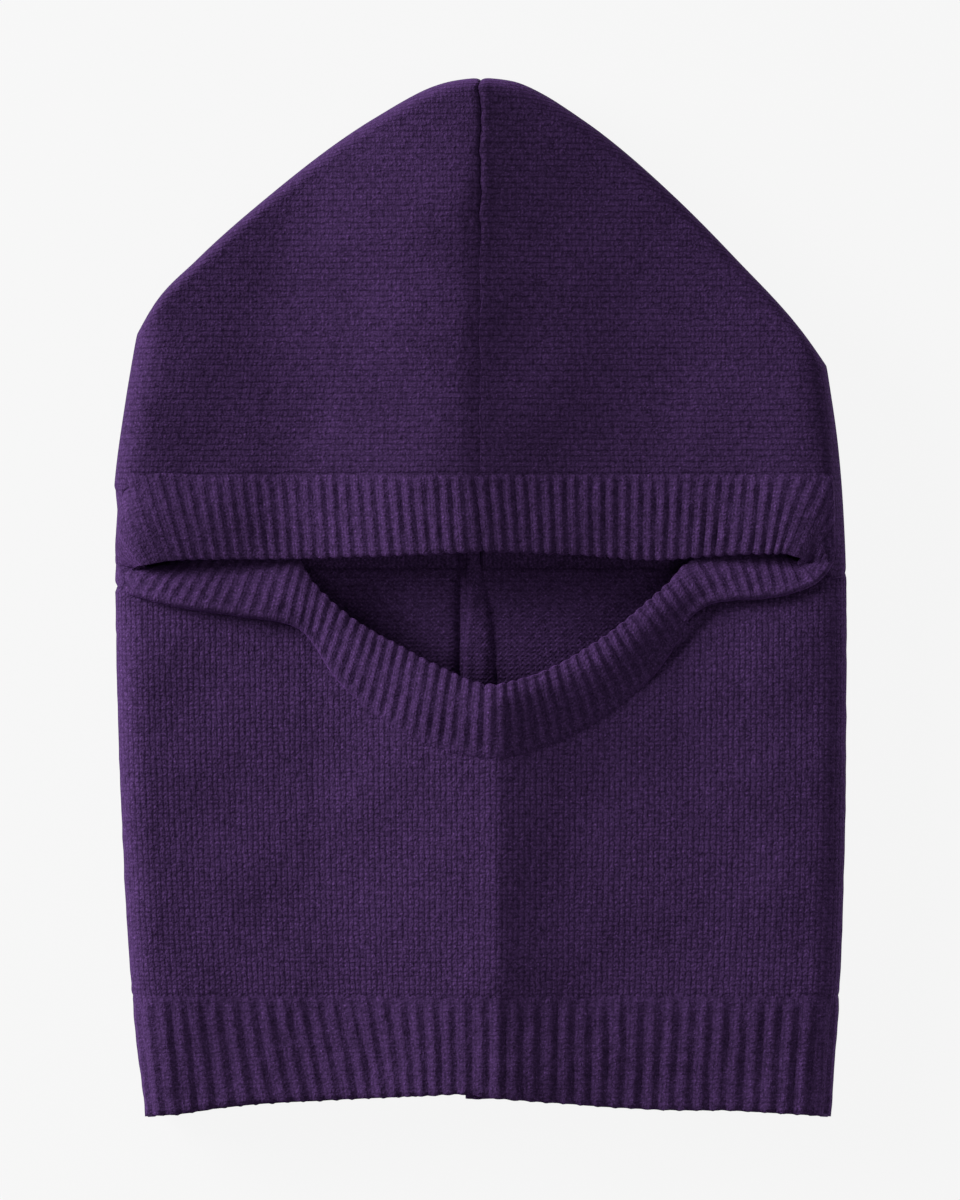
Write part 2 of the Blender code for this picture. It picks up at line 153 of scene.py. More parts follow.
# The face band as a ring, from the forehead round the left corner, under the chin and back, in millimetres:
# sewn edge x, y, z, free edge x, y, z, crown of the section, roll radius at the sewn edge, and the crest's
# share of the width
BAND = [
    (-2, 48, 26, 1, 18.7, 26, 0.5, 0.7, 0.5),
    (-40, 48, 26, -37.5, 17.0, 26, 0.6, 0.7, 0.5),
    (-78, 48, 26, -75, 16.0, 26, 0.6, 0.7, 0.5),
    (-110, 48, 26, -104, 15.8, 26, 0.8, 0.7, 0.5),
    (-129, 47.8, 26, -119, 15.2, 25.8, 1.2, 0.7, 0.5),
    (-138, 47, 24.2, -126, 13.8, 25.2, 2.0, 0.7, 0.5),
    (-141.8, 44, 18, -130.5, 13.0, 24.4, 3.6, 1.3, 0.5),
    (-142, 34, 9, -132.8, 12.5, 22.8, 4.6, 1.6, 0.5),
    (-141.9, 22, 6, -134.0, 12.0, 20.8, 4.7, 1.6, 0.5),
    (-142.8, 13, 8, -134.2, 11.6, 18.8, 4.3, 1.5, 0.5),
    (-142.7, 7.2, 13.5, -132.8, 11.4, 16.9, 4.0, 1.5, 0.45),
    (-138.6, 4.0, 21, -128.0, 12.2, 15.2, 3.1, 1.6, 0.4),
    (-130, 1.2, 26, -119, 14.2, 14.2, 2.0, 1.8, 0.35),
    (-118, -2, 27.8, -106, 17.8, 14.2, 1.5, 2.0, 0.35),
    (-103, -4.6, 28.4, -92, 19.5, 15.5, 1.3, 2.1, 0.35),
    (-89, -6.9, 28.6, -80, 18.8, 17.5, 1.4, 2.0, 0.4),
    (-77.5, -8.8, 28.4, -71.5, 15.8, 20, 1.5, 1.9, 0.45),
    (-69.5, -12, 28, -65.5, 6.5, 23, 1.8, 1.7, 0.5),
    (-63.5, -19, 27.4, -58, -1.8, 25.5, 2.2, 1.4, 0.6),
    (-56.5, -28.5, 27, -49.5, -8.8, 27, 2.5, 1.1, 0.68),
    (-48, -37.8, 26.8, -41, -14.2, 28, 2.6, 0.9, 0.70),
    (-38, -46.2, 26.6, -32, -19, 28.8, 2.6, 0.8, 0.72),
    (-27.5, -52.6, 26.6, -22.5, -24.2, 29.4, 2.6, 0.8, 0.74),
    (-16.5, -57.6, 26.6, -12.5, -29, 29.8, 2.6, 0.8, 0.76),
    (-5.5, -60.5, 26.6, -3.5, -33, 30.2, 2.6, 0.8, 0.78),
    (5, -61.5, 26.6, 5.5, -34.5, 30.6, 2.6, 0.8, 0.78),
    (16, -59.8, 26.6, 13.5, -33, 31, 2.6, 0.8, 0.78),
    (27, -56.5, 26.6, 22, -30.4, 31.4, 2.6, 0.8, 0.76),
    (38, -51.5, 26.6, 31.5, -26.2, 31.6, 2.6, 0.8, 0.74),
    (49, -44.8, 26.6, 40.5, -21, 31.6, 2.6, 0.8, 0.72),
    (59.5, -36.5, 26.6, 49.5, -15.2, 31.4, 2.6, 0.8, 0.70),
    (68.5, -27, 26.8, 58, -8.6, 30.8, 2.6, 0.9, 0.68),
    (75.5, -17, 27.2, 66, -1.6, 29.6, 2.4, 1.1, 0.64),
    (81, -8.4, 27.8, 73, 4.6, 27.6, 2.0, 1.5, 0.55),
    (88, -2.5, 28.2, 79.5, 12, 24.5, 1.6, 1.8, 0.48),
    (98, 0.2, 28.6, 90, 18.5, 19.5, 1.3, 2.0, 0.4),
    (111, 1.2, 28.4, 105, 20, 16.5, 1.3, 2.0, 0.4),
    (122, 3.6, 27.6, 117.5, 17.5, 16.6, 1.4, 1.7, 0.4),
    (130.2, 7.4, 26.5, 123.5, 14.4, 18.6, 1.4, 1.4, 0.4),
    (135.2, 14, 25.6, 125.8, 13.8, 21.2, 1.3, 1.2, 0.4),
    (136.6, 24, 25.3, 126.6, 13.8, 23.6, 1.0, 1.0, 0.45),
    (137, 37, 25.5, 126.2, 14.6, 25.4, 0.8, 0.9, 0.5),
    (136.6, 44.5, 25.7, 123.8, 15.9, 26.6, 0.7, 0.8, 0.5),
    (131.5, 47.8, 26, 119, 17.6, 26.9, 0.6, 0.7, 0.5),
    (117, 48, 26, 112, 18.0, 26.5, 0.6, 0.7, 0.5),
    (95, 48, 26, 92, 17.2, 26, 0.6, 0.7, 0.5),
    (70, 48, 26, 69, 15.6, 26, 0.6, 0.7, 0.5),
    (36, 48, 26, 36.5, 17.7, 26, 0.6, 0.7, 0.5),
    (-2, 48, 26, 1, 18.7, 26, 0.5, 0.7, 0.5),
]

# Colours
YARN = (0.0314, 0.0146, 0.0518)
HOOD_SHADE = 0.82         # painted shade: the hood's colour is darker than the neck's, by this factor
PURL_LIGHT = 1.25         # painted light: the purl side, seen inside the face opening, is lighter by this factor
SHEEN = (0.34, 0.13, 0.58, 1)


# ---------------------------------------------------------------- helpers
def smooth_step(t, start=0.0, end=1.0):
    t = np.clip((t - start) / (end - start), 0, 1)
    return t * t * (3 - 2 * t)


def smooth_curve(points, t):
    """Values at the array t of a smooth curve through (t, value) points, which rise in t."""
    ts, values = (np.array(column, float) for column in zip(*points))
    slopes = np.gradient(values, ts)
    i = np.clip(np.searchsorted(ts, t) - 1, 0, len(ts) - 2)
    step = ts[i + 1] - ts[i]
    s = np.clip((t - ts[i]) / step, 0, 1)
    first = (1 + 2 * s) * (1 - s) ** 2 * values[i] + s * (1 - s) ** 2 * step * slopes[i]
    return first + s * s * (3 - 2 * s) * values[i + 1] - s * s * (1 - s) * step * slopes[i + 1]


def bell(distance, width):
    """1 at no distance, falling off smoothly either side."""
    return np.exp(-((distance / width) ** 2))


def cusp(distance, width):
    """1 at no distance, falling off steeply either side."""
    return np.exp(-np.abs(distance) / width)


def ripple(x, y, seed, length, count=14):
    """Smooth seeded unevenness between about -1 and 1, with bumps about length long."""
    rng = np.random.default_rng(seed)
    total = np.zeros_like(x)
    for _ in range(count):
        angle, phase = rng.uniform(0, 2 * math.pi, 2)
        k = 2 * math.pi / length * rng.uniform(0.6, 1.5)
        total += np.sin(k * (x * math.cos(angle) + y * math.sin(angle)) + phase)
    return total / math.sqrt(count)


def side_x(side, y):
    points = [(y_share * HALF_Y, x_share * HALF_X) for y_share, x_share in SIDE[side]]
    return smooth_curve(points, np.minimum(y, points[-1][0]))


def top_y(side, x):
    return smooth_curve([(x_share * HALF_X, y_share * HALF_Y) for x_share, y_share in TOP[side]], x)


def hem_edge(x):
    return -HALF_Y + smooth_curve([(share * HALF_X, rise) for share, rise in HEM_LINE], x)


def ridge(distance, height, left, right, tail=0.0, straight=0.0):
    """A crease pressed into the cloth: an even or S-shaped flank on its left, a hollow one on its right."""
    rise = np.clip(1 + distance / left, 0, 1)
    on_left = straight * rise ** 1.2 + (1 - straight) * smooth_step(rise)
    rounded = distance - CREST_ROUND * (1 - cusp(np.clip(distance, 0, 1), CREST_ROUND))
    near = np.clip(1 - rounded / right, 0, 1) ** 2
    far = np.clip(1 - rounded / FAR_FLANK, 0, 1)
    return height * np.where(distance < 0, on_left, (1 - tail) * near + tail * far)


def relief(x, y):
    """How far the front layer stands above FLAT: a crease down the centre, and soft hollows beside it."""
    on_hood = smooth_step(y, -0.02, 0.03)
    crest_x = HOOD_CREASE_X + PEAK_SHIFT * smooth_step(y, 0.150, 0.185)
    hood = ridge(x - crest_x, HOOD_CREASE, *HOOD_FLANKS)
    hood += HOOD_LEFT_RISE * smooth_step(-x, 0.060, 0.135)
    below_peak = 1 - smooth_step(y, 0.07, 0.15)
    hood += HOOD_SWELL * bell(x - HOOD_SWELL_X, HOOD_SWELL_WIDTH) * below_peak
    bib = ridge(x - BIB_CREASE_X, BIB_CREASE, *BIB_FLANKS, tail=0.3, straight=1.0)
    bib += BIB_LEFT_RISE * smooth_step(-x, 0.070, 0.135)
    bib += BIB_SWELL * bell(x - BIB_SWELL_X, BIB_SWELL_WIDTH)
    return bib + (hood - bib) * on_hood + UNEVEN * ripple(x, y, 5, 0.045)


def right_step(x, y):
    """How far the right side of the hood drops outside the soft fold that its front layer ends in."""
    along_hood = smooth_step(y, 0.004, 0.012) * (1 - smooth_step(y, 0.075, 0.100))
    beyond = x - (side_x(1, y) - smooth_curve(RIGHT_INSET, y))
    lip = RIGHT_LIP * bell(beyond + 1.5 * MM, 1.6 * MM)
    return along_hood * (RIGHT_DROP * smooth_step(beyond, -0.5 * MM, 1.2 * MM) - lip)


def squarish(share):
    """Across and up on a quarter of a squarish circle, at this share of its length from the top."""
    turn = np.linspace(0, math.pi / 2, 600)
    across, up = np.sin(turn) ** FOLD_POWER, np.cos(turn) ** FOLD_POWER
    length = np.concatenate([[0], np.cumsum(np.hypot(np.diff(across), np.diff(up)))])
    return np.interp(share, length / length[-1], across), np.interp(share, length / length[-1], up)


def side_fold(side, turn, y):
    """x beyond the flat part, and z, round the side fold."""
    across, up = squarish(1 - np.abs(1 - turn / (math.pi / 2)))
    x = FOLD * across
    z = FOLD * (1 - np.sign(math.pi / 2 - turn) * up)
    if side < 0:
        under_band = smooth_step(y, 0.002, 0.008) * (1 - smooth_step(y, 0.038, 0.044))
        x = x - BAND_ROOM * under_band * smooth_step(turn, 0.8, 1.4) * np.sin(turn)
    return x, z


def loop(side, alpha, y, end=1.0):
    """A point of the outer surface at the share alpha of the way from centre back to centre front.

    end falls from 1 to 0 over the fold along the top of the hood. Returns x, z and the angle round the
    side fold.
    """
    flat = side_x(side, y) - FOLD
    length = 2 * flat + math.pi * FOLD
    along = alpha * length
    turn = np.clip((along - flat) / FOLD, 0, math.pi)
    fold_x, fold_z = side_fold(side, turn, y)
    x = np.where(turn <= 0, along, np.where(turn >= math.pi, length - along, flat + fold_x))
    x = side * x
    front = (1 - np.cos(turn)) / 2
    lift = back_lift(x, y) * np.where(turn <= 0, 1, 0)
    rise = relief(x, y)
    if side > 0:
        rise = rise - right_step(x, y)
    z = FOLD + (fold_z - FOLD + rise * front) * end + lift
    return x, z, turn


def back_lift(x, y):
    """The back layer stands off the table round the centre-back seam, with a deep slot beside the seam."""
    window = smooth_step(y, -0.060, -0.030) * (1 - smooth_step(y, 0.035, 0.060))
    slot = 1 - bell(x + SLOT_X, SLOT_WIDTH)
    return BACK_MOUND * window * bell(x, BACK_MOUND_WIDTH) * slot


# ---------------------------------------------------------------- meshes
def grid_mesh(name, points, stitch, weld=False):
    """A mesh over rows of points, whose stitch coordinates become the attribute that the materials read."""
    rows, columns = points.shape[:2]
    index = np.arange(rows * columns).reshape(rows, columns)
    faces = np.stack([index[:-1, :-1], index[:-1, 1:], index[1:, 1:], index[1:, :-1]], -1).reshape(-1, 4)
    mesh = bpy.data.meshes.new(name)
    mesh.from_pydata(points.reshape(-1, 3).tolist(), [], faces.tolist())
    attribute = mesh.attributes.new("stitch", "FLOAT_VECTOR", "POINT")
    coordinates = np.zeros((rows * columns, 3), np.float32)
    coordinates[:, :2] = stitch.reshape(-1, 2)
    attribute.data.foreach_set("vector", coordinates.ravel())
    if weld:
        bm = bmesh.new()
        bm.from_mesh(mesh)
        bmesh.ops.remove_doubles(bm, verts=bm.verts, dist=0.02 * MM)
        bm.to_mesh(mesh)
        bm.free()
    mesh.update()
    obj = bpy.data.objects.new(name, mesh)
    bpy.context.scene.collection.objects.link(obj)
    return obj


def normals_of(points):
    """Unit normals of a grid of points."""
    down = np.gradient(points, axis=0)
    across = np.gradient(points, axis=1)
    normal = np.cross(across, down)
    return normal / np.maximum(np.linalg.norm(normal, axis=-1, keepdims=True), 1e-12)


def tube_normals(points):
    """Unit normals of a grid of points on the tube, pointing out of it."""
    normal = normals_of(points)
    if (normal * (points - [0, 0, FOLD]) * [1, 0, 1]).sum() < 0:
        normal = -normal
    return normal


def face_out(obj, outward):
    """Turns the faces round where outward, a function of (centre, normal), sums to less than nothing."""
    mesh = obj.data
    count = len(mesh.polygons)
    normals, centres = np.zeros(count * 3), np.zeros(count * 3)
    mesh.polygons.foreach_get("normal", normals)
    mesh.polygons.foreach_get("center", centres)
    if outward(centres.reshape(-1, 3), normals.reshape(-1, 3)).sum() < 0:
        mesh.flip_normals()


def thicken(obj, thickness, outer, inner):
    """Makes an open sheet a closed shell, with one material outside and one within."""
    obj.data.materials.append(outer)
    obj.data.materials.append(inner)
    solidify = obj.modifiers.new("thickness", "SOLIDIFY")
    solidify.thickness = thickness
    solidify.offset = -1.0
    solidify.use_rim = True
    solidify.material_offset = 1
    solidify.material_offset_rim = 0
    graph = bpy.context.evaluated_depsgraph_get()
    mesh = bpy.data.meshes.new_from_object(obj.evaluated_get(graph))
    obj.modifiers.clear()
    obj.data = mesh
    mesh.shade_smooth()
    return obj


def place(obj, replaced):
    """Bakes a finished piece's transform into its mesh and hides the frame parts it replaces."""
    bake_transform(obj)
    if replaced:
        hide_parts(*replaced)
    return obj


def tube_outward(centres, normals):
    return normals[:, 0] * centres[:, 0] + normals[:, 2] * (centres[:, 2] - FOLD)


def upward(centres, normals):
    return normals[:, 2]


# ---------------------------------------------------------------- the face band
def band_ring(samples):
    """The columns of BAND at even steps round the ring, in metres, and the arc length."""
    table = np.array(BAND, float)
    table[:, :8] *= MM
    middle = (table[:, :3] + table[:, 3:6]) / 2
    arc = np.concatenate([[0], np.cumsum(np.linalg.norm(np.diff(middle, axis=0), axis=1))])
    t = np.linspace(0, arc[-1], samples)
    values = np.stack([smooth_curve(list(zip(arc, column)), t) for column in table.T], -1)
    return values[:, :3], values[:, 3:6], values[:, 6], values[:, 7], values[:, 8], t


def lip_line():
    """The sewn edge along the neck panel, as x, y, z arrays with rising x."""
    sewn = band_ring(1200)[0]
    line = sewn[sewn[:, 1] < HINGE_Y]
    return line[np.argsort(line[:, 0])].T


def sink_at(distance):
    """How deep the band sinks into the panel it is sewn to, at this distance inside its sewn edge."""
    return BAND_SINK * (1 - smooth_step(distance, -2 * MM, 2 * MM))


def band_frame(sewn, free):
    """The band's width, and the unit vectors across it and out of it, at each step round the ring."""
    across = free - sewn
    width = np.linalg.norm(across, axis=1, keepdims=True)
    across = across / width
    along = np.gradient(sewn + free, axis=0)
    normal = np.cross(along, across)
    normal /= np.linalg.norm(normal, axis=1, keepdims=True)
    if normal[0, 2] < 0:
        normal = -normal
    return width, across, normal


def band_rows(sewn, free, crown, roll, crest):
    """Rows of points from under the sewn edge, over the crest, to the rolled free edge.

    Returns the points, each row's share of the width, and the width. Where roll is small the band lies
    flush with its panel; where it is larger the sewn edge is a rolled lip.
    """
    width, across, normal = band_frame(sewn, free)
    rows = []
    shares = []
    turn = np.maximum(roll, 1.0 * MM)[:, None]
    flush = 1 - smooth_step(roll, 1.0 * MM, 1.6 * MM)[:, None]
    for angle, outside in ((90, 1.8 * MM), (65, 0.9 * MM), (35, 0.0)):
        sine, cosine = math.sin(math.radians(angle)), math.cos(math.radians(angle))
        rolled = turn * (1 - sine)
        step = rolled + (-outside - rolled) * flush
        sunk = turn * (1 - cosine)
        sunk = sunk + (sink_at(step) - sunk) * flush + BAND_TUCK * (angle / 90) ** 4
        rows.append(sewn + across * step - normal * sunk)
        shares.append(-0.0007 * angle)
    reach = width - turn
    for k in range(BAND_STEPS + 1):
        s = k / BAND_STEPS
        beyond_crest = 1 - np.clip((s - crest) / (1 - crest), 0, 1) ** 2
        bulge = np.where(s < crest, smooth_step(s / crest), beyond_crest)
        step = turn + reach * s
        rows.append(sewn + across * step + normal * ((crown * bulge)[:, None] - sink_at(step) * flush))
        shares.append(s)
    in_corner = smooth_step(np.abs(free[:, :1]), 0.116, 0.126)
    turn = RIB * (0.35 - 0.22 * in_corner)
    for angle in np.radians([45, 90]):
        rows.append(free + across * turn * math.sin(angle) - normal * turn * (1 - math.cos(angle)))
        shares.append(1 + 0.02 * angle)
    return np.stack(rows), np.array(shares)[:, None], width


def band_ribs(x, y, free_x, share, phase):
    """Height of the ribs: broad ridges that fade at the sewn edge and in the corners of the opening."""
    wave = 0.5 - 0.5 * np.cos(2 * math.pi * (phase + 0.05 * ripple(x, y, 22, 0.03, 8)))
    height = FACE_RIB_HEIGHT * (wave ** RIB_SHAPE - 0.68) * smooth_step(share, -0.06, 0.12)
    in_corner = smooth_step(np.abs(free_x), 0.112, 0.124)
    height = height * (1 - 0.9 * in_corner * smooth_step(share, 0.0, 0.6))
    height = height * (1 - 0.4 * smooth_step(-x, 0.030, 0.110) * smooth_step(y, -0.010, 0.010))
    at_side = smooth_step(np.abs(x), 0.130, 0.138)
    height = height * (0.85 + 0.25 * ripple(x, y, 21, 0.02)) * (1 - 0.7 * at_side)
    return height + 0.06 * MM * ripple(x, y, 24, 0.007)


def face_band(materials):
    ribs = int(round(band_ring(4)[-1][-1] / FACE_RIB))
    sewn, free, crown, roll, crest, t = band_ring(ribs * PER_RIB + 1)
    points, share, width = band_rows(sewn, free, crown, roll, crest)
    x, y = points[..., 0], points[..., 1]
    points[..., 2] += relief(x, y) * np.clip(points[..., 2] / FLAT, 0, 1) ** 2
    phase = t / t[-1] * ribs
    height = band_ribs(x, y, free[:, 0], share, phase)
    ends = np.minimum(t, t[-1] - t)
    height = height - 0.4 * MM * np.exp(-ends / (1.0 * MM))
    normal = normals_of(points)
    points += normal * height[..., None] * np.sign(normal[0, 0, 2])
    stitch = np.stack(np.broadcast_arrays(phase[None, :] * 2 - 0.5, share * width.T / COURSE), -1)
    obj = grid_mesh("face_band", points, stitch)
    face_out(obj, upward)
    thicken(obj, RIB, *materials)
    nodes = ["brim_rib_left", "brim_rib_right", "chin_rib_band"]
    return place(obj, nodes)


# ---------------------------------------------------------------- neck and hem
def neck_top(side, x, turn):
    """The neck panel's top edge, in y: the hood seam along the back, and under the face band in front."""
    line_x, line_y, _ = lip_line()
    front_y = np.interp(x, line_x, line_y) + 3.0 * MM
    corner_y = HINGE_Y + LEVEL_JOIN
    return corner_y + (front_y - corner_y) * smooth_step(turn, *COVER[side])


def tuck_under_band(x, y, z, turn):
    """Lowers the front layer of the neck panel where it goes under the face band."""
    line_x, line_y, _ = lip_line()
    edge = np.interp(x, line_x, line_y)
    slope = np.gradient(line_y, line_x)
    square = 1 / np.hypot(1, np.interp(x, line_x, slope))
    distance = (edge - y) * square
    corner = smooth_step(np.abs(x - 5 * MM), 0.050, 0.085)
    depth = (0.4 + 4.4 * corner) * MM
    reach = (4 + 9 * corner) * MM
    drop = depth * cusp(np.clip(distance, 0, 1), reach)
    drop += depth * 0.5 * smooth_step(-distance, 0, 3 * MM)
    return z - drop * smooth_step(turn, 1.4, 2.8)


def tube_grid(columns, rows, top, bottom, tucked):
    """Points of the whole tube, from centre back round the right side and on round the left.

    rows are shares of the way from the top edge to the bottom one; top and bottom give those edges' y.
    """
    alpha = np.concatenate([np.linspace(0, 1, columns + 1), np.linspace(1, 0, columns + 1)[1:]])
    side = np.concatenate([np.ones(columns + 1), -np.ones(columns)])
    v = np.asarray(rows)[:, None]
    points = np.zeros((len(rows), len(alpha), 3))
    for sign in (1, -1):
        part = side == sign
        a = alpha[part][None, :]
        x, _, turn = loop(sign, a, np.zeros_like(a))
        first = top(sign, x, turn)
        last = bottom(sign, x, turn)
        y = first + (last - first) * v
        x, z, turn = loop(sign, np.broadcast_to(a, y.shape), y)
        if tucked:
            z = tuck_under_band(x, y, z, turn)
        points[:, part] = np.stack([x, y, z], -1)
    return points


def neck_panel(materials):
    columns = round(HALF_ROUND / WALE) * PER_WALE
    upper, lower = 0.16, 0.96
    rows = np.concatenate([
        np.linspace(0, upper, 14),
        np.linspace(upper, lower, 27)[1:],
        np.linspace(lower, 1, 7)[1:],
    ])
    points = tube_grid(
        columns, rows,
        neck_top,
        lambda side, x, turn: np.full_like(x, HEM_Y - HEM_JOIN),
        tucked=True,
    )
    total = 2 * columns + 1
    phase = np.arange(total) / PER_WALE
    valley = np.abs(np.sin(math.pi * phase)) ** 0.7
    height = 0.08 * MM * (valley - 0.6) * np.ones(points.shape[:2])
    height += 0.10 * MM * ripple(points[..., 0], points[..., 1], 8, 0.006)
    height -= SINK * smooth_step(HEM_Y - points[..., 1], -HEM_JOIN, HEM_JOIN)
    height -= SINK * smooth_step(points[..., 1] - HINGE_Y, -LEVEL_JOIN, LEVEL_JOIN)
    points += tube_normals(points) * height[..., None]
    stitch = np.stack(np.broadcast_arrays(phase[None, :], points[..., 1] / COURSE), -1)
    obj = grid_mesh("neck_knit", points, stitch)
    face_out(obj, tube_outward)
    thicken(obj, KNIT, *materials)
    return place(obj, ["neck_panel"])


def hem_band(materials):
    columns = HEM_RIBS * PER_RIB
    upper = 0.12
    rows = np.concatenate([np.linspace(0, upper, 7), np.linspace(upper, 1, 20)[1:]])
    points = tube_grid(
        columns, rows,
        lambda side, x, turn: np.full_like(x, HEM_Y + HEM_JOIN),
        lambda side, x, turn: hem_edge(x) + HEM_STEP * smooth_step(turn, 1.0, 2.4),
        tucked=False,
    )
    share = rows[:, None]
    x, y = points[..., 0], points[..., 1]
    front = smooth_step(points[..., 2], 0.6 * FLAT, 0.9 * FLAT)
    lean = 0.95 * smooth_step(x, -0.115, -0.070) * (1 - smooth_step(x, -0.050, 0.0)) * front
    phase = (np.arange(2 * columns + 1) / PER_RIB)[None, :] + lean * share
    wave = 0.5 + 0.5 * np.cos(2 * math.pi * (phase + 0.04 * ripple(x, y, 34, 0.04, 8)))
    height = HEM_RIB_HEIGHT * (wave ** RIB_SHAPE - 0.65) * smooth_step(share, 0.03, 0.20)
    height = height * (0.85 + 0.2 * ripple(x, y, 32, 0.02)) + 0.15 * MM * ripple(x, y, 33, 0.012)
    height -= SINK * (1 - smooth_step(HEM_Y - y, -HEM_JOIN, HEM_JOIN))
    points += tube_normals(points) * height[..., None]
    points[..., 1] -= 0.35 * MM * wave * smooth_step(share, 0.85, 1)
    stitch = np.stack([phase * 2 + 0.5, y / COURSE], -1)
    obj = grid_mesh("hem_knit", points, stitch)
    face_out(obj, tube_outward)
    thicken(obj, RIB, *materials)
    return place(obj, ["hem_rib"])


# ---------------------------------------------------------------- hood
def seam_sway(x, y):
    """How far the crown seam wanders sideways, with the cloth close to it."""
    return 0.45 * MM * ripple(y, y, 41, 0.012, 8) * cusp(x, 14 * MM) * smooth_step(y, 0.05, 0.07)


def hood_half(side, materials):
    """Half of the hood; its columns crowd towards the centre back and the centre front."""
    columns, flat_rows, fold_rows = 200, 96, 12
    crowding = 0.75
    even = np.linspace(0, 1, columns + 1)[None, :]
    alpha = even - crowding * np.sin(2 * math.pi * even) / (2 * math.pi)
    shoulder = np.full_like(alpha, SIDE[side][-1][0] * HALF_Y)
    x_ref, _, turn = loop(side, alpha, shoulder)
    edge = top_y(side, np.minimum(np.abs(x_ref), side_x(side, shoulder)))
    level = HINGE_Y - LEVEL_JOIN
    start = level + (BRIM_Y - HEM_LAP - level) * smooth_step(turn, *COVER[side])
    share = np.concatenate([np.linspace(0, 1, flat_rows + 1), np.ones(fold_rows)])[:, None]
    fold = np.concatenate([np.zeros(flat_rows + 1), np.linspace(0, 1, fold_rows + 1)[1:]])[:, None]
    beyond, up = squarish(fold)
    y = start + (edge - TOP_FOLD - start) * share + TOP_FOLD * beyond
    x, z, turn = loop(side, np.broadcast_to(alpha, y.shape), y, up)
    front = np.where(turn > 1, 1.0, 0.0)
    deep = (0.2 + 0.9 * smooth_step(y, 0.125, 0.165)) * MM
    groove = deep * cusp(x, 0.6 * MM)
    if side > 0:
        groove = groove - 0.25 * deep * bell(x - 2.6 * MM, 1.8 * MM)
    under_brim = 0.8 * MM * (1 - smooth_step(y, BRIM_Y - 2 * MM, BRIM_Y + 2 * MM))
    under_brim = under_brim * smooth_step(turn, 2.6, 3.0)
    z = z - (groove + under_brim) * front + 0.7 * MM * cusp(x, 1.2 * MM) * (1 - front)
    y = y - 1.3 * MM * cusp(x, 1.3 * MM) * smooth_step(fold, 0.1, 0.8)
    points = np.stack([x + seam_sway(x, y), y, z], -1)
    sunk = SINK * (1 - smooth_step(y - HINGE_Y, -LEVEL_JOIN, LEVEL_JOIN))
    points -= tube_normals(points) * sunk[..., None]
    along_fold = y + (FOLD_LENGTH * fold - TOP_FOLD * beyond)
    stitch = np.stack(np.broadcast_arrays(along_fold / WALE, alpha * HALF_ROUND / COURSE), -1)
    obj = grid_mesh("hood_left_knit" if side < 0 else "hood_right_knit", points, stitch, weld=True)
    face_out(obj, tube_outward)
    thicken(obj, KNIT, *materials)
    node = "hood_left_panel" if side < 0 else "hood_right_panel"
    return place(obj, [node])


# ---------------------------------------------------------------- seams
def back_seam(materials):
    """The seam allowance down the centre back, a soft raised flap that shows through the face opening."""
    steps, columns = 150, 18
    y = np.linspace(SEAM_TOP, SEAM_BOTTOM, steps + 1)[:, None]
    w = np.linspace(-1, 1, columns + 1)[None, :]
    spread = smooth_step(-y, -0.020, 0.028)
    half = (2.7 + 4.3 * spread) * MM
    centre = (-2.4 + 3.2 * spread) * MM + 0.4 * MM * ripple(y, y, 3, 0.05)
    x = centre + half * w
    y = np.broadcast_to(y, x.shape)
    dome = np.clip(1 - np.abs(w) ** 2.6, 0, 1) ** 0.5
    z = KNIT + back_lift(x * 0 + 12 * MM, y) + (3.2 * dome - 0.9 * w - 0.8) * MM
    z = z + 0.35 * MM * ripple(x, y, 4, 0.008)
    points = np.stack([x, y, z], -1)
    stitch = np.stack([x / WALE * 1.3, y / COURSE], -1)
    obj = grid_mesh("back_seam_allowance", points, stitch)
    face_out(obj, upward)
    thicken(obj, 1.6 * MM, *materials)
    nodes = ["hood_back_seam", "neck_back_seam"]
    return place(obj, nodes)


def chain(name, path, radius, material, node):
    """A linked seam: a two-ply chain of yarn along a path of points."""
    path = np.asarray(path, float)
    arc = np.concatenate([[0], np.cumsum(np.linalg.norm(np.diff(path, axis=0), axis=1))])
    steps = int(arc[-1] / (PLY / 7)) + 1
    s = np.linspace(0, arc[-1], steps)
    line = np.stack([np.interp(s, arc, column) for column in path.T], -1)
    along = np.gradient(line, axis=0)
    along /= np.linalg.norm(along, axis=1, keepdims=True)
    up = np.array([0, 0, 1.0])
    side = np.cross(along, up)
    side /= np.linalg.norm(side, axis=1, keepdims=True)
    up = np.cross(side, along)
    angle = np.linspace(0, 2 * math.pi, 11)[:, None, None]
    twist = 2 * math.pi * s[None, :, None] / PLY
    size = radius * (0.80 + 0.30 * np.cos(2 * angle - twist))
    ends = np.minimum(s, s[-1] - s)[None, :, None]
    size = size * np.sqrt(np.clip(ends / (2 * radius), 0.01, 1))
    points = line[None] + size * (np.cos(angle) * side[None] + np.sin(angle) * up[None])
    stitch = np.stack(np.broadcast_arrays(angle[..., 0] * 0.3, s[None, :] / PLY), -1)
    obj = grid_mesh(name, points, stitch, weld=True)
    bm = bmesh.new()
    bm.from_mesh(obj.data)
    bmesh.ops.holes_fill(bm, edges=[edge for edge in bm.edges if edge.is_boundary])
    bmesh.ops.recalc_face_normals(bm, faces=bm.faces)
    bm.to_mesh(obj.data)
    bm.free()
    obj.data.materials.append(material)
    obj.data.shade_smooth()
    return place(obj, [node])


def front_path(x, y, depth):
    """A path this deep below the front layer's outer surface."""
    return np.stack([x, y, FLAT + relief(x, y) - depth], -1)


